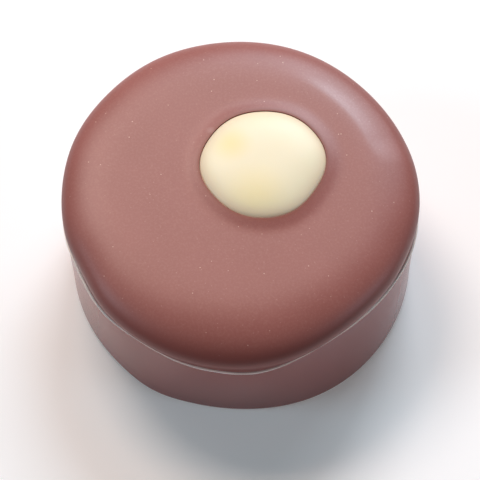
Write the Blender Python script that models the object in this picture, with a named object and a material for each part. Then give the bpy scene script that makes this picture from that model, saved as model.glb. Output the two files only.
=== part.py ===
"""A round filled chocolate: a moulded base, a milk chocolate cap with a rolled edge, and a white chocolate dot.

The chocolate stands on z = 0, with its axis on Z. +X is its right side and -Y its front.
"""

import math

import bmesh
import bpy
from mathutils import Vector

MM = 0.001

# Cap
CAP_RADIUS = 15.0 * MM
RIM_HEIGHT = 12.88 * MM
SHOULDER_HEIGHT = 11.1 * MM
ROLL_WIDTH = 5.5 * MM
ROLL_START_POWER = 3.0
ROLL_END_POWER = 2.2
TOP_DOME = 0.2 * MM
CAP_EDGE_ROUND = 0.12 * MM

# Seam between base and cap
SEAM_HEIGHT = 8.7 * MM
SEAM_RADIUS = 14.6 * MM
SIDE_POWER = 1.6
PIECE_GAP = 0.3 * MM
INNER_SEAM_SHARE = 0.6

# The edge is softly pressed in at the front right
PRESS_ANGLE = math.radians(-49.5)
PRESS_SPREAD = math.radians(24)
PRESS_INSET = 0.9 * MM
PRESS_SHOULDER_SHARE = 0.52
PRESS_WALL_START = 0.1
SWELL_POWER = 2.2

# The front is a little fuller: its edge stands out and rolls off later
FRONT_ANGLE = math.radians(-95)
FRONT_SPREAD = math.radians(52)
FRONT_BULGE = 0.8 * MM
FRONT_SEAM_SHARE = 0.48
FRONT_SHARPENING = 0.7
FRONT_LOW = 0.33 * MM
AXIS_BACK = 0.39 * MM

# Unevenness of the cap's edge, a little flat at the back right: angle, spread and size
EDGE_WAVES = (
    (math.radians(38), math.radians(26), -0.25 * MM),
    (math.radians(118), math.radians(15), 0.10 * MM),
    (math.radians(158), math.radians(13), 0.08 * MM),
    (math.radians(-152), math.radians(10), -0.26 * MM),
    (math.radians(-20), math.radians(10), -0.15 * MM),
)

# Waves in the seam: angle, spread, and height or reach
SEAM_WAVES = (
    (math.radians(-158), math.radians(12), 0.3 * MM),
    (math.radians(-123), math.radians(12), 0.2 * MM),
    (math.radians(-87), math.radians(10), -0.14 * MM),
    (math.radians(-62), math.radians(14), 0.15 * MM),
)
SEAM_OUT_WAVES = (
    (math.radians(-174), math.radians(12), 0.15 * MM),
    (math.radians(-158), math.radians(10), -0.12 * MM),
    (math.radians(-123), math.radians(10), -0.14 * MM),
    (math.radians(-87), math.radians(9), 0.12 * MM),
    (math.radians(-62), math.radians(12), -0.11 * MM),
    (math.radians(-8), math.radians(12), 0.12 * MM),
)

# Base
WALL_TOP_RADIUS = 14.68 * MM
WALL_BOTTOM_RADIUS = 14.5 * MM
WALL_EDGE_ROUND = 0.2 * MM
BOTTOM_ROUND = 0.4 * MM

# Waves in the foot of the wall: angle, spread and depth
FOOT_WAVES = (
    (math.radians(-58), math.radians(26), 0.22 * MM),
    (math.radians(-92), math.radians(16), -0.08 * MM),
    (math.radians(-121), math.radians(11), 0.22 * MM),
    (math.radians(180), math.radians(40), -0.1 * MM),
)

# Dot of white chocolate, let into the top
DOT_CENTRE = Vector((1.85 * MM, 2.06 * MM, 0))
DOT_RADIUS = 5.19 * MM
DOT_BASE = 13.05 * MM
DOT_HEIGHT = 0.9 * MM
DOT_DEPTH = 0.7 * MM
DOT_FLATNESS = 2.9
DOT_EDGE_POWER = 0.6
DOT_UNDER_ROUND = 0.45 * MM
SEAT_LIP = 0.22 * MM
SEAT_MOUND = 0.2 * MM
SEAT_MOUND_WIDTH = 0.8 * MM

# Unevenness of the dot's outline: waves round it, and their cosine and sine parts
DOT_WAVES = (
    (2, 0.05 * MM, 0.07 * MM),
    (3, -0.02 * MM, 0.06 * MM),
    (4, 0.04 * MM, 0.03 * MM),
    (6, 0.035 * MM, 0.01 * MM),
)

# Fineness of the meshes
ROUND_SEGMENTS = 80
DOT_SEGMENTS = 64
TOP_RINGS = 7
ROLL_RINGS = 8
SIDE_RINGS = 6
WALL_RINGS = 5
CORNER_RINGS = 3
DOME_RINGS = 7

MILK_CHOCOLATE = (0.300, 0.125, 0.098, 1)
MOULDED_CHOCOLATE = (0.190, 0.088, 0.080, 1)
WHITE_CHOCOLATE = (0.880, 0.780, 0.560, 1)


def clear_scene():
    for obj in list(bpy.data.objects):
        bpy.data.objects.remove(obj, do_unlink=True)


def chocolate(name, colour, roughness):
    material = bpy.data.materials.new(name)
    material.use_nodes = True
    shader = material.node_tree.nodes["Principled BSDF"]
    shader.inputs["Base Color"].default_value = colour
    shader.inputs["Roughness"].default_value = roughness
    shader.inputs["Metallic"].default_value = 0
    return material


def swell(angle, centre, spread):
    """1 at the centre angle, fading to 0 past the spread on each side."""
    away = abs(math.remainder(angle - centre, math.tau))
    return math.exp(-((away / spread) ** SWELL_POWER))


def hump(value, centre, width):
    return math.exp(-(((value - centre) / width) ** 2))


def smooth_step(value):
    value = min(max(value, 0.0), 1.0)
    return value * value * (3 - 2 * value)


def polar(radius, angle, height):
    return Vector((radius * math.cos(angle), radius * math.sin(angle), height))


def sum_of_waves(angle, waves):
    return sum(size * swell(angle, centre, spread) for centre, spread, size in waves)


def front(angle):
    return swell(angle, FRONT_ANGLE, FRONT_SPREAD)


def press(angle):
    return swell(angle, PRESS_ANGLE, PRESS_SPREAD)


def seam_height(angle):
    return SEAM_HEIGHT + sum_of_waves(angle, SEAM_WAVES)


def stand_out(angle):
    """How far the seam stands out from its circle at this angle."""
    uneven = sum_of_waves(angle, SEAM_OUT_WAVES)
    return uneven + FRONT_BULGE * FRONT_SEAM_SHARE * front(angle) - PRESS_INSET * press(angle)


def parting_height(radius, angle):
    """Height of the face between base and cap: level inside, and at the seam's height at its rim."""
    share = radius / SEAM_RADIUS
    blend = smooth_step((share - INNER_SEAM_SHARE) / (1 - INNER_SEAM_SHARE))
    return SEAM_HEIGHT + (seam_height(angle) - SEAM_HEIGHT) * blend


def wall_radius(angle, height):
    """The base's wall: a slight taper, which follows the seam towards its top."""
    share = height / SEAM_HEIGHT
    foot = WALL_BOTTOM_RADIUS + sum_of_waves(angle, FOOT_WAVES)
    plain = foot + (WALL_TOP_RADIUS - foot) * min(share, 1)
    return plain + stand_out(angle) * smooth_step((share - PRESS_WALL_START) / (1 - PRESS_WALL_START))


def dot_radius(angle):
    waves = sum(c * math.cos(n * angle) + s * math.sin(n * angle) for n, c, s in DOT_WAVES)
    return DOT_RADIUS + waves


def top_height(point):
    """The cap's upper surface without its rolled edge: a faint dome, and a faint mound round the dot's seat."""
    dome = TOP_DOME * (1 - (math.hypot(point.x, point.y) / CAP_RADIUS) ** 2)
    away = point - DOT_CENTRE
    beyond = math.hypot(away.x, away.y) - dot_radius(math.atan2(away.y, away.x)) - PIECE_GAP
    mound = SEAT_MOUND * hump(max(beyond, 0), 0, SEAT_MOUND_WIDTH)
    return RIM_HEIGHT + dome + mound


def edge_point(angle, place):
    """A point of the cap's outside: place is 0 on the top's rim, 1 at the shoulder and 2 at the seam."""
    start = CAP_RADIUS - ROLL_WIDTH
    pressed = PRESS_INSET * PRESS_SHOULDER_SHARE * press(angle)
    shoulder = CAP_RADIUS + FRONT_BULGE * front(angle) - pressed + sum_of_waves(angle, EDGE_WAVES)
    widest = SHOULDER_HEIGHT - FRONT_LOW * front(angle)
    if place <= 1:
        share = math.sin(place * math.pi / 2)
        end_power = ROLL_END_POWER - FRONT_SHARPENING * front(angle)
        drop = 1 - (1 - share ** ROLL_START_POWER) ** (1 / end_power)
        point = polar(start + (shoulder - start) * share, angle, 0)
        point.z = top_height(point) - (RIM_HEIGHT - widest) * drop
        return point
    share = place - 1
    low = seam_height(angle) + PIECE_GAP / 2 + CAP_EDGE_ROUND
    radius = shoulder + (SEAM_RADIUS + stand_out(angle) - shoulder) * share ** SIDE_POWER
    return polar(radius, angle, widest + (low - widest) * share)


def ring(segments, point_at):
    return [point_at(math.tau * i / segments) for i in range(segments)]


def closed_body(name, rings, material):
    """A closed mesh from rings of points round the axis, each joined to the next; a ring of one point is a pole."""
    bm = bmesh.new()
    axis = Vector((0, AXIS_BACK, 0))
    loops = [[bm.verts.new(point + axis) for point in points] for points in rings]
    for upper, lower in zip(loops, loops[1:]):
        count = max(len(upper), len(lower))
        for i in range(count):
            j = (i + 1) % count
            corners = [upper[i % len(upper)], lower[i % len(lower)], lower[j % len(lower)], upper[j % len(upper)]]
            bm.faces.new(dict.fromkeys(corners))
    mesh = bpy.data.meshes.new(name)
    bm.to_mesh(mesh)
    bm.free()
    mesh.shade_smooth()
    mesh.set_sharp_from_angle(angle=math.radians(40))
    mesh.materials.append(material)
    obj = bpy.data.objects.new(name, mesh)
    bpy.context.collection.objects.link(obj)
    return obj


def make_base():
    """The moulded lower part, from the middle of its top over the wall to the middle of its underside."""
    def top_point(share):
        def at(angle):
            radius = (wall_radius(angle, SEAM_HEIGHT) - WALL_EDGE_ROUND) * share
            return polar(radius, angle, parting_height(radius, angle) - PIECE_GAP / 2)
        return at

    def corner_point(turn):
        def at(angle):
            high = seam_height(angle) - PIECE_GAP / 2
            radius = wall_radius(angle, high) - WALL_EDGE_ROUND * (1 - math.sin(turn))
            return polar(radius, angle, high - WALL_EDGE_ROUND * (1 - math.cos(turn)))
        return at

    def wall_point(share):
        def at(angle):
            high = seam_height(angle) - PIECE_GAP / 2 - WALL_EDGE_ROUND
            height = high + (BOTTOM_ROUND - high) * share
            return polar(wall_radius(angle, height), angle, height)
        return at

    def bottom_point(turn):
        def at(angle):
            radius = wall_radius(angle, BOTTOM_ROUND) - BOTTOM_ROUND * (1 - math.cos(turn))
            return polar(radius, angle, BOTTOM_ROUND * (1 - math.sin(turn)))
        return at

    rings = [[Vector((0, 0, SEAM_HEIGHT - PIECE_GAP / 2))]]
    rings += [ring(ROUND_SEGMENTS, top_point(share)) for share in (0.5, 0.75, 0.9)]
    quarter = [math.pi / 2 * i / CORNER_RINGS for i in range(CORNER_RINGS + 1)]
    rings += [ring(ROUND_SEGMENTS, corner_point(turn)) for turn in quarter]
    rings += [ring(ROUND_SEGMENTS, wall_point(i / WALL_RINGS)) for i in range(1, WALL_RINGS + 1)]
    rings += [ring(ROUND_SEGMENTS, bottom_point(turn)) for turn in quarter[1:]]
    rings += [[Vector((0, 0, 0))]]
    return closed_body("base", rings, chocolate("moulded_chocolate", MOULDED_CHOCOLATE, 0.25))


def make_cap():
    """The milk chocolate cap, from the floor of the dot's seat over the rolled edge to its underside."""
    seat_floor = DOT_BASE - DOT_DEPTH - PIECE_GAP

    def seat_point(inset, height):
        def at(angle):
            return DOT_CENTRE + polar(dot_radius(angle) + PIECE_GAP - inset, angle, height)
        return at

    def top_point(share):
        def at(angle):
            inner = DOT_CENTRE + polar(dot_radius(angle) + PIECE_GAP + SEAT_LIP, angle, 0)
            point = inner.lerp(polar(CAP_RADIUS - ROLL_WIDTH, angle, 0), share)
            point.z = top_height(point)
            return point
        return at

    def under_point(share):
        def at(angle):
            rim = SEAM_RADIUS + stand_out(angle) - CAP_EDGE_ROUND
            return polar(rim * share, angle, parting_height(rim * share, angle) + PIECE_GAP / 2)
        return at

    rings = [[DOT_CENTRE + Vector((0, 0, seat_floor))]]
    rings += [ring(ROUND_SEGMENTS, seat_point(DOT_RADIUS / 2, seat_floor))]
    rings += [ring(ROUND_SEGMENTS, seat_point(DOT_UNDER_ROUND, seat_floor))]
    rings += [ring(ROUND_SEGMENTS, seat_point(DOT_UNDER_ROUND * 0.3, seat_floor + DOT_UNDER_ROUND * 0.3))]
    rings += [ring(ROUND_SEGMENTS, seat_point(0, seat_floor + DOT_UNDER_ROUND))]
    rings += [ring(ROUND_SEGMENTS, seat_point(-SEAT_LIP * 0.25, DOT_BASE - SEAT_LIP * 0.4))]
    rings += [ring(ROUND_SEGMENTS, top_point((i / TOP_RINGS) ** 1.4)) for i in range(TOP_RINGS)]
    places = [i / ROLL_RINGS for i in range(ROLL_RINGS)]
    places += [1 + i / SIDE_RINGS for i in range(SIDE_RINGS + 1)]
    rings += [ring(ROUND_SEGMENTS, lambda angle, place=place: edge_point(angle, place)) for place in places]
    rings += [ring(ROUND_SEGMENTS, under_point(share)) for share in (1, 0.9, 0.75, 0.5)]
    rings += [[Vector((0, 0, SEAM_HEIGHT + PIECE_GAP / 2))]]
    return closed_body("cap", rings, chocolate("milk_chocolate", MILK_CHOCOLATE, 0.42))


def make_dot():
    """The white chocolate dot: a low dome with a rounded underside, sunk in its seat."""
    def dome_point(share):
        def at(angle):
            rise = DOT_HEIGHT * (1 - share ** DOT_FLATNESS) ** DOT_EDGE_POWER
            return DOT_CENTRE + polar(dot_radius(angle) * share, angle, DOT_BASE + rise)
        return at

    def under_point(turn):
        def at(angle):
            radius = dot_radius(angle) - DOT_UNDER_ROUND * (1 - math.cos(turn))
            low = DOT_BASE - DOT_DEPTH + DOT_UNDER_ROUND * (1 - math.sin(turn))
            return DOT_CENTRE + polar(radius, angle, low)
        return at

    rings = [[DOT_CENTRE + Vector((0, 0, DOT_BASE + DOT_HEIGHT))]]
    shares = [math.sin(math.pi / 2 * i / DOME_RINGS) for i in range(1, DOME_RINGS + 1)]
    rings += [ring(DOT_SEGMENTS, dome_point(share)) for share in shares]
    quarter = [math.pi / 2 * i / CORNER_RINGS for i in range(CORNER_RINGS + 1)]
    rings += [ring(DOT_SEGMENTS, under_point(turn)) for turn in quarter]
    rings += [[DOT_CENTRE + Vector((0, 0, DOT_BASE - DOT_DEPTH))]]
    return closed_body("white_dot", rings, chocolate("white_chocolate", WHITE_CHOCOLATE, 0.35))


clear_scene()
make_base()
make_cap()
make_dot()
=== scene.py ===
"""Looks of the round filled chocolate: glossy base, satin cap with a rolled edge, white chocolate dot."""

import math

import bpy
import numpy as np
from mathutils import Matrix, Vector


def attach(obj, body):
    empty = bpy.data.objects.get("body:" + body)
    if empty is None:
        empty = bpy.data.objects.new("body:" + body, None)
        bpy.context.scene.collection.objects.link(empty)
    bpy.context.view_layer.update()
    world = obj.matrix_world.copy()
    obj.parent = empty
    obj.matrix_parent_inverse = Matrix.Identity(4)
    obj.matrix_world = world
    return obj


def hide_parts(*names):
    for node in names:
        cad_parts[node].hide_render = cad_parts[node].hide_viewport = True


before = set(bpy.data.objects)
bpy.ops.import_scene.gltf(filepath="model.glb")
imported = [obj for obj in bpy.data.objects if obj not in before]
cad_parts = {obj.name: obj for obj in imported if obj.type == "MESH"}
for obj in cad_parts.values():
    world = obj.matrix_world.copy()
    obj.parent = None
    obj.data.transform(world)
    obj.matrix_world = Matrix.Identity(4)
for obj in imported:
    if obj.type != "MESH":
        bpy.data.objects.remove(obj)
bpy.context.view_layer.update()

MM = 0.001

# Cap, as in the solids
CAP_RADIUS = 15.0 * MM
RIM_HEIGHT = 12.88 * MM
SHOULDER_HEIGHT = 11.1 * MM
ROLL_WIDTH = 5.5 * MM
ROLL_START_POWER = 3.0
ROLL_END_POWER = 2.2
TOP_DOME = 0.2 * MM
CAP_EDGE_ROUND = 0.12 * MM
CAP_EDGE_DROP = 0.4

# Seam, and the soft press in the edge at the front right
SEAM_HEIGHT = 8.7 * MM
SEAM_RADIUS = 14.7 * MM
SIDE_POWER = 1.6
PARTING_SHARES = (0.5, 0.75, 0.9)
PARTING_DROP = 0.1 * MM
INNER_SEAM_SHARE = 0.6
PRESS_ANGLE = math.radians(-49.5)
PRESS_SPREAD = math.radians(24)
PRESS_INSET = 0.9 * MM
PRESS_SHOULDER_SHARE = 0.52
PRESS_WALL_START = 0.1
SWELL_POWER = 2.2

# The front is a little fuller: its edge stands out and rolls off later
FRONT_ANGLE = math.radians(-95)
FRONT_SPREAD = math.radians(52)
FRONT_BULGE = 0.8 * MM
FRONT_SEAM_SHARE = 0.48
FRONT_SHARPENING = 0.7
FRONT_LOW = 0.33 * MM
AXIS_BACK = 0.39 * MM

# Unevenness of the cap's edge, a little flat at the back right, and of the seam: angle, spread and size
EDGE_WAVES = (
    (math.radians(38), math.radians(26), -0.25 * MM),
    (math.radians(118), math.radians(15), 0.10 * MM),
    (math.radians(158), math.radians(13), 0.08 * MM),
    (math.radians(-152), math.radians(10), -0.26 * MM),
    (math.radians(-20), math.radians(10), -0.15 * MM),
)
SEAM_WAVES = (
    (math.radians(-158), math.radians(12), 0.3 * MM),
    (math.radians(-123), math.radians(12), 0.2 * MM),
    (math.radians(-87), math.radians(10), -0.14 * MM),
    (math.radians(-62), math.radians(14), 0.15 * MM),
)
SEAM_OUT_WAVES = (
    (math.radians(-174), math.radians(12), 0.15 * MM),
    (math.radians(-158), math.radians(10), -0.12 * MM),
    (math.radians(-123), math.radians(10), -0.14 * MM),
    (math.radians(-87), math.radians(9), 0.12 * MM),
    (math.radians(-62), math.radians(12), -0.11 * MM),
    (math.radians(-8), math.radians(12), 0.12 * MM),
)

# Base and its underside
WALL_TOP_RADIUS = 14.68 * MM
WALL_BOTTOM_RADIUS = 14.5 * MM
BOTTOM_ROUND = 0.4 * MM
WALL_EDGE_ROUND = 0.12 * MM
UNDERSIDE_SHARES = (0.9, 0.6, 0.3)

# Thin bead along the seam: waves as count, start and size, and where its painted highlight lies
LIP_ROUND = 0.16 * MM
LIP_OUT = 0.04 * MM
LIP_RAISE = 0.03 * MM
LIP_PRESS_OUT = 0.2 * MM
LIP_WAVES = ((7, 1, 0.10), (17, 0, 0.06), (41, 0, 0.04))
LIP_HIGHLIGHT_PLACE = -0.35
LIP_HIGHLIGHT_SPREAD = 0.45
LIP_HIGHLIGHT_START = 0.7

# Waves in the foot of the wall: angle, spread and depth
FOOT_WAVES = (
    (math.radians(-58), math.radians(26), 0.22 * MM),
    (math.radians(-92), math.radians(16), -0.08 * MM),
    (math.radians(-121), math.radians(11), 0.22 * MM),
    (math.radians(180), math.radians(40), -0.1 * MM),
)

# Dot of white chocolate, its seat in the cap, the marks on and round it, and painted shade in the crease
# round it and on its edge
DOT_CENTRE = np.array((1.85, 2.06)) * MM
DOT_RADIUS = 5.19 * MM
DOT_BASE = 13.05 * MM
DOT_HEIGHT = 0.9 * MM
DOT_DEPTH = 0.7 * MM
DOT_FLATNESS = 2.9
DOT_EDGE_POWER = 0.6
DOT_SKIRT = 0.3 * MM
DOT_WAVES = (
    (2, 0.05 * MM, 0.07 * MM),
    (3, -0.02 * MM, 0.06 * MM),
    (4, 0.04 * MM, 0.03 * MM),
    (6, 0.035 * MM, 0.01 * MM),
)
YELLOW_PLACES = (
    ((-0.8 * MM, 4.0 * MM, 13.8 * MM), 2.2 * MM, (0.90, 0.745, 0.39)),
    ((1.2 * MM, -0.6 * MM, 13.7 * MM), 3.6 * MM, (0.90, 0.785, 0.46)),
)
SEAT_MOUND = 0.2 * MM
SEAT_MOUND_WIDTH = 0.8 * MM
SEAT_UNDER = 0.10 * MM
SEAT_WALL_SHARE = 0.6
SEAT_WALL_POWER = 1.5
SEAT_FLOOR_INSETS = (2.5 * MM, 0.5 * MM)
CREASE_SHADE_WIDTH = 0.27 * MM
DOT_RIM_SHADE_WIDTH = 0.7 * MM
SMEAR_PLACE = (-2.55 * MM, 5.65 * MM, 12.95 * MM)
SMEAR_SIZE = 0.55 * MM

# Soft facet in the top's edge at the back right
FACET_FIRST = math.radians(10)
FACET_LAST = math.radians(76)
FACET_BLUNT = 0.22
FACET_FADE = 0.6
FACET_START = 11.4 * MM
FACET_WIDTH = 1.3 * MM
FACET_DEPTH = 0.11 * MM
FACET_MIDDLE = 12.0 * MM
FACET_HALF = 0.75 * MM

# Fineness of the meshes
SEGMENTS = 440
DOT_SEGMENTS = 300
SEAT_RINGS = 8
TOP_RINGS = 64
TOP_RING_POWER = 2.2
ROLL_RINGS = 32
SIDE_RINGS = 24
WALL_RINGS = 48
DOT_RINGS = 48
CAP_EDGE_RINGS = 6
WALL_EDGE_RINGS = 7
FOOT_RINGS = 9
DOT_SKIRT_RINGS = 8
LIP_SIDES = 12

# Colours
MILK_CLOUDS = ((0.304, 0.100, 0.083), (0.320, 0.107, 0.090))
MILK_GRAIN = (0.39, 0.165, 0.137)
MILK_FINE_SPECK = (0.55, 0.30, 0.26)
MILK_SPECK = (0.62, 0.38, 0.32)
# Painted shade on the cap's rolled edge
MILK_ROLL_PAINTED_SHADE = (0.226, 0.061, 0.052)
# Painted shade under the cap's overhanging edge
UNDER_EDGE_PAINTED_SHADE = (0.18, 0.049, 0.042)
# Painted shade in the crease round the dot
CREASE_SHADE_COLOUR = (0.20, 0.034, 0.015)
SMEAR_COLOUR = (0.42, 0.22, 0.20)
MOULDED_STREAKS = ((0.292, 0.094, 0.085), (0.314, 0.104, 0.095))
# Painted highlight along the bead: lightest at its sides, dimmer elsewhere; its inner side keeps the
# chocolate's tone
LIP_PAINTED_HIGHLIGHT = ((0.95, 0.75, 0.66), (0.97, 0.83, 0.74))
LIP_DIMMER_HIGHLIGHT = (0.80, 0.60, 0.55)
LIP_INNER = (0.29, 0.10, 0.085)
IVORY = (0.89, 0.805, 0.57)
# Painted shade and reflected brown at the dot's curving edge
IVORY_RIM_PAINTED_SHADE = (0.87, 0.715, 0.51)
FLOOR_COLOUR = (0.92, 0.92, 0.92)
FLOOR_GLOW_COLOUR = (1, 0.95, 0.9)

# Gloss
CAP_ROUGHNESS = 0.42
FACET_ROUGHNESS = 0.31
UNDER_EDGE_ROUGHNESS = 0.85
WALL_ROUGHNESS = 0.22
LIP_ROUGHNESS = 0.4
DOT_ROUGHNESS = 0.42
FLOOR_ROUGHNESS = 0.9
FLOOR_SPECULAR = 0.1

# Grain, clouds, specks and streaks: sizes, depths and the ranges that they fade over
CLOUD_SIZE = 6 * MM
CLOUD_RANGE = (0.3, 0.7)
GRAIN_SIZE = 0.2 * MM
GRAIN_ROUGHNESS = 0.7
GRAIN_RANGE = (0.40, 0.72, 0, 0.35)
GRAIN_DEPTH = 0.004 * MM
FINE_SPECK_SPACING = 0.55 * MM
FINE_SPECK_RANGE = (0.11, 0.05, 0, 0.35)
SPECK_SPACING = 1.0 * MM
SPECK_RANGE = (0.06, 0.035)
UNDULATION_SIZE = 4.5 * MM
UNDULATION_DEPTH = 0.010 * MM
STREAK_SIZE = 5 * MM
STREAK_STRETCH = (1, 1, 0.2)
STREAK_RANGE = (0.25, 0.75)
# Size of the patches in the bead's painted highlight
LIP_HIGHLIGHT_PATCH_SIZE = 1.5 * MM
WALL_GRAIN_SIZE = 0.14 * MM
DOT_GRAIN_SIZE = 0.12 * MM
SMOOTH_GRAIN_DEPTH = 0.0008 * MM

# Heights between which painted shade darkens the cap's roll and the edge's underside, and the underside
# dulls
ROLL_PAINTED_SHADE_HEIGHTS = (12.55 * MM, 11.2 * MM)
UNDER_EDGE_SHADE_HEIGHTS = (10.8 * MM, 9.9 * MM)
UNDER_EDGE_DULLS = (10.7 * MM, 9.8 * MM)

# Camera, fitted to the photo's outline
CAMERA_ELEVATION = math.radians(61.8)
CAMERA_DISTANCE = 350 * MM
AIM_HEIGHT = 6 * MM
FRAME_PIXELS = 480
AIM_PIXEL = (240.9, 226.2)
PIXELS_PER_MM = 11.775
SENSOR_MM = 36

# Lights, in degrees and watts, and the floor's own glow
SOFTBOX_DISTANCE = 600 * MM
SOFTBOX_DIAMETER = 240 * MM
SOFTBOXES = (
    ("back", 77, 42, 1.66, (0.85, 1.0, 1.12)),
    ("back_left", 121, 56, 1.32, (1.22, 1.0, 0.90)),
    ("back_right", 60, 31, 0.72, (0.90, 1.0, 1.10)),
    ("back_high", 92, 58, 0.20, (1.9, 0.8, 0.3)),
    ("behind_left", 133, 42, 0.28, (0.9, 1.0, 0.95)),
    ("left", 191, 34, 0.58, (0.70, 1.0, 1.2)),
    ("right", 341, 28, 0.32, (0.65, 1.0, 1.25)),
)
WORLD_STRENGTH = 0.05
FLOOR_GLOW = 0.13
FLOOR_HALF = 600 * MM

# Colour sockets of the Mix node, by number
MIX_FIRST = 6
MIX_SECOND = 7
MIX_RESULT = 2


def round_angles(count):
    return np.arange(count) * math.tau / count


def quarter_turn(count):
    return np.linspace(0, math.pi / 2, count)


def swell(angle, centre, spread):
    """1 at the centre angle, fading to 0 away from it."""
    away = np.abs((angle - centre + math.pi) % math.tau - math.pi)
    return np.exp(-((away / spread) ** SWELL_POWER))


def smooth_step(value):
    value = np.clip(value, 0, 1)
    return value * value * (3 - 2 * value)


def polar(radius, angle, height):
    height = height + 0 * angle
    return np.stack([radius * np.cos(angle), radius * np.sin(angle), height], -1)


def sum_of_waves(angle, waves):
    return sum(size * swell(angle, centre, spread) for centre, spread, size in waves)


def front(angle):
    return swell(angle, FRONT_ANGLE, FRONT_SPREAD)


def press(angle):
    return swell(angle, PRESS_ANGLE, PRESS_SPREAD)


def seam_height(angle):
    return SEAM_HEIGHT + sum_of_waves(angle, SEAM_WAVES)


def stand_out(angle):
    """How far the seam stands out from its circle at this angle."""
    uneven = sum_of_waves(angle, SEAM_OUT_WAVES)
    return uneven + FRONT_BULGE * FRONT_SEAM_SHARE * front(angle) - PRESS_INSET * press(angle)


def parting_height(radius, angle):
    """Height of the face between base and cap, flat inside and level with the seam outside."""
    blend = smooth_step((radius / SEAM_RADIUS - INNER_SEAM_SHARE) / (1 - INNER_SEAM_SHARE))
    return SEAM_HEIGHT + (seam_height(angle) - SEAM_HEIGHT) * blend


def wall_radius(angle, height):
    share = height / SEAM_HEIGHT
    foot = WALL_BOTTOM_RADIUS + sum_of_waves(angle, FOOT_WAVES)
    plain = foot + (WALL_TOP_RADIUS - foot) * np.minimum(share, 1)
    return plain + stand_out(angle) * smooth_step((share - PRESS_WALL_START) / (1 - PRESS_WALL_START))


def dot_radius(angle):
    return DOT_RADIUS + sum(c * np.cos(n * angle) + s * np.sin(n * angle) for n, c, s in DOT_WAVES)


def lip_radius(angle, height):
    """Middle of the bead along the seam, further out where the cap's edge is pressed in."""
    return wall_radius(angle, height) + LIP_OUT + LIP_PRESS_OUT * press(angle)


def beyond_dot(x, y):
    """Distance outside the dot's outline."""
    across, along = x - DOT_CENTRE[0], y - DOT_CENTRE[1]
    return np.hypot(across, along) - dot_radius(np.arctan2(along, across))


def facet_length(x, y):
    angle = np.arctan2(y, x)
    return smooth_step((angle - FACET_FIRST) / FACET_BLUNT) * smooth_step((FACET_LAST - angle) / FACET_FADE)


def facet_drop(x, y):
    return FACET_DEPTH * facet_length(x, y) * smooth_step((np.hypot(x, y) - FACET_START) / FACET_WIDTH)


def sheen(x, y):
    """Where the facet is smoother than the rest of the cap."""
    return facet_length(x, y) * np.exp(-(((np.hypot(x, y) - FACET_MIDDLE) / FACET_HALF) ** 2))


def crease_shade(x, y):
    """Painted shade: the darker line in the crease round the dot."""
    return np.exp(-((beyond_dot(x, y) / CREASE_SHADE_WIDTH) ** 2))


def highlight_at_sides(x, y):
    """Where the bead's painted highlight is brightest: at its sides, a little towards the front."""
    return np.exp(-(((y / SEAM_RADIUS - LIP_HIGHLIGHT_PLACE) / LIP_HIGHLIGHT_SPREAD) ** 2))


def outer_highlight(x, y):
    """The bead's outer side, where its painted highlight lies."""
    angle = np.arctan2(y, x)
    reach = np.hypot(x, y) - lip_radius(angle, seam_height(angle))
    return smooth_step(reach / LIP_ROUND + LIP_HIGHLIGHT_START)


def dot_rim_shade(x, y):
    """The dot's edge, painted a little darker and pinker as shade and reflected brown where it curves down.
    """
    return np.exp(-((beyond_dot(x, y) / DOT_RIM_SHADE_WIDTH) ** 2))


def top_height(x, y):
    """The cap's upper surface without its rolled edge: a faint dome, a mound round the dot and the facet."""
    dome = TOP_DOME * (1 - (np.hypot(x, y) / CAP_RADIUS) ** 2)
    mound = SEAT_MOUND * np.exp(-((np.maximum(beyond_dot(x, y), 0) / SEAT_MOUND_WIDTH) ** 2))
    return RIM_HEIGHT + dome + mound - facet_drop(x, y)


def edge_ring(angle, place):
    """A ring of the cap's outside: place is 0 on the top's rim, 1 at the shoulder and 2 at the seam."""
    start = CAP_RADIUS - ROLL_WIDTH
    pressed = PRESS_INSET * PRESS_SHOULDER_SHARE * press(angle)
    shoulder = CAP_RADIUS + FRONT_BULGE * front(angle) - pressed + sum_of_waves(angle, EDGE_WAVES)
    widest = SHOULDER_HEIGHT - FRONT_LOW * front(angle)
    if place <= 1:
        share = math.sin(place * math.pi / 2)
        end_power = ROLL_END_POWER - FRONT_SHARPENING * front(angle)
        drop = 1 - (1 - share ** ROLL_START_POWER) ** (1 / end_power)
        points = polar(start + (shoulder - start) * share, angle, 0)
        points[:, 2] = top_height(points[:, 0], points[:, 1]) - (RIM_HEIGHT - widest) * drop
        return points
    share = place - 1
    radius = shoulder + (SEAM_RADIUS + stand_out(angle) - shoulder) * share ** SIDE_POWER
    return polar(radius, angle, widest + (seam_height(angle) - widest) * share)


def pole(x, y, z):
    return np.array([[x, y, z]])


def seat_rings(angle, outline, centre):
    """The hollow under the dot, from its middle up to the top's surface."""
    floor = DOT_BASE - DOT_DEPTH
    rings = [pole(*DOT_CENTRE, floor)]
    rings += [centre + polar(outline - inset, angle, floor) for inset in SEAT_FLOOR_INSETS]
    for i in range(SEAT_RINGS):
        left = 1 - i / SEAT_RINGS
        ring = centre + polar(outline - SEAT_UNDER * left ** 2, angle, 0)
        surface = top_height(*(centre + polar(outline, angle, 0)).T[:2])
        ring[:, 2] = surface - DOT_DEPTH * SEAT_WALL_SHARE * left ** SEAT_WALL_POWER
        rings.append(ring)
    return rings


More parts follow.
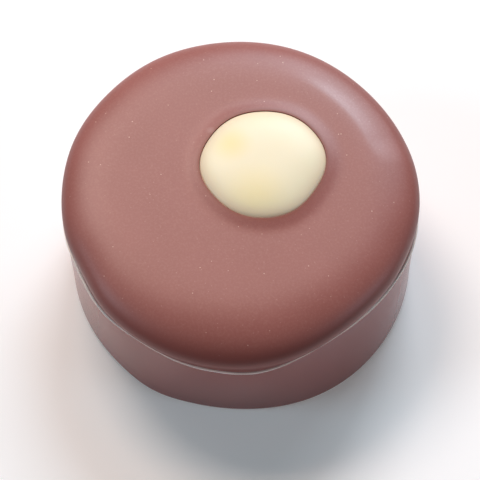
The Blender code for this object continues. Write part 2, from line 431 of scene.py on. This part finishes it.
def cap_rings():
    angle = round_angles(SEGMENTS)
    outline = dot_radius(angle)
    centre = np.array((*DOT_CENTRE, 0))
    rings = seat_rings(angle, outline, centre)
    inner = centre + polar(outline, angle, 0)
    rim = polar(CAP_RADIUS - ROLL_WIDTH, angle, 0)
    for i in range(TOP_RINGS):
        ring = inner + (rim - inner) * (i / TOP_RINGS) ** TOP_RING_POWER
        ring[:, 2] = top_height(ring[:, 0], ring[:, 1])
        rings.append(ring)
    rings += [edge_ring(angle, i / ROLL_RINGS) for i in range(ROLL_RINGS)]
    rings += [edge_ring(angle, 1 + i / SIDE_RINGS) for i in range(SIDE_RINGS)]
    for turn in quarter_turn(CAP_EDGE_RINGS):
        ring = edge_ring(angle, 2) - polar(1, angle, 0) * CAP_EDGE_ROUND * (1 - math.cos(turn))
        ring[:, 2] -= CAP_EDGE_ROUND * math.sin(turn) * CAP_EDGE_DROP
        rings.append(ring)
    for share in reversed(PARTING_SHARES):
        radius = (SEAM_RADIUS + stand_out(angle)) * share
        rings.append(polar(radius, angle, parting_height(radius, angle)))
    rings.append(pole(0, 0, SEAM_HEIGHT))
    return rings


def base_rings():
    angle = round_angles(SEGMENTS)
    seam = seam_height(angle)
    top_wall = wall_radius(angle, seam)
    rings = [pole(0, 0, SEAM_HEIGHT - PARTING_DROP)]
    for share in PARTING_SHARES:
        radius = top_wall * share
        rings.append(polar(radius, angle, parting_height(radius, angle) - PARTING_DROP))
    for turn in quarter_turn(WALL_EDGE_RINGS):
        radius = top_wall - WALL_EDGE_ROUND * (1 - math.sin(turn))
        rings.append(polar(radius, angle, seam - WALL_EDGE_ROUND * (1 - math.cos(turn))))
    high = seam - WALL_EDGE_ROUND
    for i in range(WALL_RINGS):
        height = high + (BOTTOM_ROUND - high) * i / WALL_RINGS
        rings.append(polar(wall_radius(angle, height), angle, height))
    for turn in quarter_turn(FOOT_RINGS):
        radius = wall_radius(angle, BOTTOM_ROUND) - BOTTOM_ROUND * (1 - math.cos(turn))
        rings.append(polar(radius, angle, BOTTOM_ROUND * (1 - math.sin(turn))))
    rings += [polar(WALL_BOTTOM_RADIUS * share, angle, 0) for share in UNDERSIDE_SHARES]
    rings.append(pole(0, 0, 0))
    return rings


def lip_rings():
    """The thin bead that the base's upper edge forms along the seam."""
    angle = round_angles(SEGMENTS)
    height = seam_height(angle) + LIP_RAISE
    middle = lip_radius(angle, height)
    size = LIP_ROUND * (1 + sum(part * np.sin(count * angle + start) for count, start, part in LIP_WAVES))
    rings = []
    for turn in round_angles(LIP_SIDES):
        rings.append(polar(middle + size * math.cos(turn), angle, height + size * math.sin(turn)))
    return rings


def dot_rings():
    angle = round_angles(DOT_SEGMENTS)
    outline = dot_radius(angle)
    centre = np.array((*DOT_CENTRE, 0))
    rings = [pole(*DOT_CENTRE, DOT_BASE + DOT_HEIGHT)]
    for i in range(1, DOT_RINGS + 1):
        share = math.sin(math.pi / 2 * i / DOT_RINGS)
        rise = DOT_HEIGHT * (1 - share ** DOT_FLATNESS) ** DOT_EDGE_POWER
        rings.append(centre + polar(outline * share, angle, DOT_BASE + rise))
    for turn in quarter_turn(DOT_SKIRT_RINGS)[1:]:
        radius = outline - DOT_SKIRT * (1 - math.cos(turn))
        rings.append(centre + polar(radius, angle, DOT_BASE - DOT_SKIRT * math.sin(turn)))
    rings.append(centre + polar(outline / 2, angle, DOT_BASE - DOT_SKIRT))
    rings.append(pole(*DOT_CENTRE, DOT_BASE - DOT_SKIRT))
    return rings


def closed_piece(name, rings, material, node=None, masks=()):
    """A closed smooth mesh from rings of points; a ring of one point is a pole, and a tube has no poles."""
    if len(rings[0]) > 1:
        rings = rings + rings[:1]
    starts = np.cumsum([0] + [len(ring) for ring in rings])
    faces = []
    for k, (upper, lower) in enumerate(zip(rings, rings[1:])):
        count = max(len(upper), len(lower))
        i = np.arange(count)
        j = (i + 1) % count
        a, b = starts[k] + i % len(upper), starts[k + 1] + i % len(lower)
        c, d = starts[k + 1] + j % len(lower), starts[k] + j % len(upper)
        if len(upper) == 1:
            faces += np.stack([a, b, c], 1).tolist()
        elif len(lower) == 1:
            faces += np.stack([a, b, d], 1).tolist()
        else:
            faces += np.stack([a, b, c, d], 1).tolist()
    mesh = bpy.data.meshes.new(name)
    points = np.concatenate(rings) + (0, AXIS_BACK, 0)
    mesh.from_pydata(points.tolist(), [], faces)
    mesh.shade_smooth()
    for mask in masks:
        values = mask(*np.concatenate(rings).T[:2]).astype(np.float32)
        mesh.attributes.new(mask.__name__, "FLOAT", "POINT").data.foreach_set("value", values)
    mesh.materials.append(material)
    piece = bpy.data.objects.new(name, mesh)
    bpy.context.collection.objects.link(piece)
    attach(piece, "root")
    if node:
        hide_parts(node)


class Shader:
    """A short way to write a material's nodes."""

    def __init__(self, name):
        self.material = bpy.data.materials.new(name)
        self.material.use_nodes = True
        self.tree = self.material.node_tree
        self.principled = self.tree.nodes["Principled BSDF"]
        self.place = self.tree.nodes.new("ShaderNodeTexCoord").outputs["Object"]

    def stretched(self, scale):
        node = self.tree.nodes.new("ShaderNodeMapping")
        node.inputs["Scale"].default_value = scale
        self.tree.links.new(self.place, node.inputs["Vector"])
        return node.outputs["Vector"]

    def noise(self, size, detail=2.0, roughness=0.5, place=None):
        """Noise whose features are about this size."""
        node = self.tree.nodes.new("ShaderNodeTexNoise")
        node.inputs["Scale"].default_value = 1 / size
        node.inputs["Detail"].default_value = detail
        node.inputs["Roughness"].default_value = roughness
        self.tree.links.new(place or self.place, node.inputs["Vector"])
        return node.outputs["Fac"]

    def spots(self, spacing):
        """Distance to the nearest of many points strewn in space, in units of their spacing."""
        node = self.tree.nodes.new("ShaderNodeTexVoronoi")
        node.inputs["Scale"].default_value = 1 / spacing
        self.tree.links.new(self.place, node.inputs["Vector"])
        return node.outputs["Distance"]

    def near(self, point, size):
        """1 at the point, fading to 0 at this distance."""
        node = self.tree.nodes.new("ShaderNodeVectorMath")
        node.operation = "DISTANCE"
        node.inputs[1].default_value = point
        self.tree.links.new(self.place, node.inputs[0])
        return self.ramp(node.outputs["Value"], size, 0)

    def height(self):
        node = self.tree.nodes.new("ShaderNodeSeparateXYZ")
        self.tree.links.new(self.place, node.inputs[0])
        return node.outputs["Z"]

    def mask(self, name):
        node = self.tree.nodes.new("ShaderNodeAttribute")
        node.attribute_name = name
        return node.outputs["Fac"]

    def ramp(self, value, low, high, to_low=0.0, to_high=1.0):
        node = self.tree.nodes.new("ShaderNodeMapRange")
        node.interpolation_type = "SMOOTHSTEP"
        for name, number in (("From Min", low), ("From Max", high), ("To Min", to_low), ("To Max", to_high)):
            node.inputs[name].default_value = number
        self.tree.links.new(value, node.inputs["Value"])
        return node.outputs["Result"]

    def mix(self, share, first, second):
        """The first colour where the share is 0, the second where it is 1."""
        node = self.tree.nodes.new("ShaderNodeMix")
        node.data_type = "RGBA"
        self.tree.links.new(share, node.inputs["Factor"])
        for number, colour in ((MIX_FIRST, first), (MIX_SECOND, second)):
            socket = node.inputs[number]
            if isinstance(colour, tuple):
                socket.default_value = (*colour, 1)
            else:
                self.tree.links.new(colour, socket)
        return node.outputs[MIX_RESULT]

    def bump(self, height, distance, normal=None):
        node = self.tree.nodes.new("ShaderNodeBump")
        node.inputs["Strength"].default_value = 1
        node.inputs["Distance"].default_value = distance
        self.tree.links.new(height, node.inputs["Height"])
        if normal:
            self.tree.links.new(normal, node.inputs["Normal"])
        return node.outputs["Normal"]

    def set(self, **values):
        """Set or link the shader's own sockets and give back the finished material."""
        for name, value in values.items():
            socket = self.principled.inputs[name.replace("_", " ")]
            if isinstance(value, bpy.types.NodeSocket):
                self.tree.links.new(value, socket)
            else:
                socket.default_value = value
        return self.material


def milk_chocolate():
    shader = Shader("milk_chocolate")
    cloud = shader.ramp(shader.noise(CLOUD_SIZE, 3), *CLOUD_RANGE)
    colour = shader.mix(cloud, *MILK_CLOUDS)
    grain = shader.noise(GRAIN_SIZE, 2, GRAIN_ROUGHNESS)
    colour = shader.mix(shader.ramp(grain, *GRAIN_RANGE), colour, MILK_GRAIN)
    fine_specks = shader.ramp(shader.spots(FINE_SPECK_SPACING), *FINE_SPECK_RANGE)
    colour = shader.mix(fine_specks, colour, MILK_FINE_SPECK)
    specks = shader.ramp(shader.spots(SPECK_SPACING), *SPECK_RANGE)
    colour = shader.mix(specks, colour, MILK_SPECK)
    # Painted shade: the rolled edge darkens downward
    colour = shader.mix(shader.ramp(shader.height(), *ROLL_PAINTED_SHADE_HEIGHTS), colour, MILK_ROLL_PAINTED_SHADE)
    # Painted shade under the overhanging edge of the cap
    colour = shader.mix(shader.ramp(shader.height(), *UNDER_EDGE_SHADE_HEIGHTS), colour, UNDER_EDGE_PAINTED_SHADE)
    # Painted shade in the crease round the dot
    colour = shader.mix(shader.mask("crease_shade"), colour, CREASE_SHADE_COLOUR)
    colour = shader.mix(shader.near(SMEAR_PLACE, SMEAR_SIZE), colour, SMEAR_COLOUR)
    undulation = shader.noise(UNDULATION_SIZE, 0)
    normal = shader.bump(undulation, UNDULATION_DEPTH, shader.bump(grain, GRAIN_DEPTH))
    rough = shader.ramp(shader.mask("sheen"), 0, 1, CAP_ROUGHNESS, FACET_ROUGHNESS)
    under_edge = shader.ramp(shader.height(), *UNDER_EDGE_DULLS)
    rough = shader.mix(under_edge, rough, (UNDER_EDGE_ROUGHNESS,) * 3)
    return shader.set(Base_Color=colour, Roughness=rough, Normal=normal)


def moulded_chocolate():
    shader = Shader("moulded_chocolate")
    streak = shader.noise(STREAK_SIZE, 0, place=shader.stretched(STREAK_STRETCH))
    colour = shader.mix(shader.ramp(streak, *STREAK_RANGE), *MOULDED_STREAKS)
    normal = shader.bump(shader.noise(WALL_GRAIN_SIZE, 2), SMOOTH_GRAIN_DEPTH)
    return shader.set(Base_Color=colour, Roughness=WALL_ROUGHNESS, Normal=normal)


def thin_lip():
    shader = Shader("thin_lip")
    # The bead's light colour is painted highlight: patchy, brightest at its sides and on its outer side
    highlight_patches = shader.ramp(shader.noise(LIP_HIGHLIGHT_PATCH_SIZE, 2), *CLOUD_RANGE)
    colour = shader.mix(highlight_patches, *LIP_PAINTED_HIGHLIGHT)
    colour = shader.mix(shader.mask("highlight_at_sides"), LIP_DIMMER_HIGHLIGHT, colour)
    colour = shader.mix(shader.mask("outer_highlight"), LIP_INNER, colour)
    return shader.set(Base_Color=colour, Roughness=LIP_ROUGHNESS, Sheen_Weight=0.8, Sheen_Roughness=0.35)


def white_chocolate():
    shader = Shader("white_chocolate")
    colour = IVORY
    for place, size, yellow in YELLOW_PLACES:
        colour = shader.mix(shader.near(place, size), colour, yellow)
    # Painted shade and reflected brown at the dot's edge
    colour = shader.mix(shader.mask("dot_rim_shade"), colour, IVORY_RIM_PAINTED_SHADE)
    normal = shader.bump(shader.noise(DOT_GRAIN_SIZE, 2), SMOOTH_GRAIN_DEPTH)
    return shader.set(
        Base_Color=colour,
        Roughness=DOT_ROUGHNESS,
        Normal=normal,
        Subsurface_Weight=0.15,
        Subsurface_Radius=(1.0, 0.8, 0.5),
        Subsurface_Scale=0.6 * MM,
    )


def add_floor():
    mesh = bpy.data.meshes.new("floor")
    corners = [(x * FLOOR_HALF, y * FLOOR_HALF, 0) for x, y in ((-1, -1), (1, -1), (1, 1), (-1, 1))]
    mesh.from_pydata(corners, [], [(0, 1, 2, 3)])
    floor = bpy.data.objects.new("floor", mesh)
    bpy.context.collection.objects.link(floor)
    shader = Shader("floor")
    material = shader.set(
        Base_Color=(*FLOOR_COLOUR, 1),
        Roughness=FLOOR_ROUGHNESS,
        Specular_IOR_Level=FLOOR_SPECULAR,
        Emission_Color=(*FLOOR_GLOW_COLOUR, 1),
        Emission_Strength=FLOOR_GLOW,
    )
    mesh.materials.append(material)


def add_softbox(name, azimuth, elevation, watts, colour):
    """A round soft light that faces the chocolate from this direction, in degrees."""
    light = bpy.data.lights.new(name, "AREA")
    light.shape = "DISK"
    light.size = SOFTBOX_DIAMETER
    light.energy = watts
    light.color = colour
    obj = bpy.data.objects.new(name, light)
    azimuth, elevation = math.radians(azimuth), math.radians(elevation)
    level = math.cos(elevation)
    away = Vector((math.cos(azimuth) * level, math.sin(azimuth) * level, math.sin(elevation)))
    obj.location = away * SOFTBOX_DISTANCE + Vector((0, 0, AIM_HEIGHT))
    obj.rotation_euler = away.to_track_quat("Z", "Y").to_euler()
    bpy.context.collection.objects.link(obj)


def add_world():
    world = bpy.data.worlds.new("studio")
    bpy.context.scene.world = world
    world.use_nodes = True
    background = world.node_tree.nodes["Background"]
    background.inputs["Color"].default_value = (1, 1, 1, 1)
    background.inputs["Strength"].default_value = WORLD_STRENGTH


def add_camera():
    data = bpy.data.cameras.new("camera")
    data.sensor_width = SENSOR_MM
    data.lens = PIXELS_PER_MM * CAMERA_DISTANCE / MM / FRAME_PIXELS * SENSOR_MM
    camera = bpy.data.objects.new("camera", data)
    back = Vector((0, -math.cos(CAMERA_ELEVATION), math.sin(CAMERA_ELEVATION)))
    right = Vector((1, 0, 0))
    up = back.cross(right)
    across = (FRAME_PIXELS / 2 - AIM_PIXEL[0]) / PIXELS_PER_MM * MM
    along = (AIM_PIXEL[1] - FRAME_PIXELS / 2) / PIXELS_PER_MM * MM
    camera.matrix_world = Matrix.Translation(
        Vector((0, AXIS_BACK, AIM_HEIGHT)) + back * CAMERA_DISTANCE + right * across + up * along
    ) @ Matrix((right, up, back)).transposed().to_4x4()
    bpy.context.collection.objects.link(camera)
    bpy.context.scene.camera = camera


closed_piece("base_skin", base_rings(), moulded_chocolate(), "base")
closed_piece("seam_lip", lip_rings(), thin_lip(), masks=(highlight_at_sides, outer_highlight))
closed_piece("cap_skin", cap_rings(), milk_chocolate(), "cap", (sheen, crease_shade))
closed_piece("dot_skin", dot_rings(), white_chocolate(), "white_dot", (dot_rim_shade,))
add_floor()
add_world()
for softbox in SOFTBOXES:
    add_softbox(*softbox)
add_camera()
bpy.context.scene.view_settings.view_transform = "Standard"
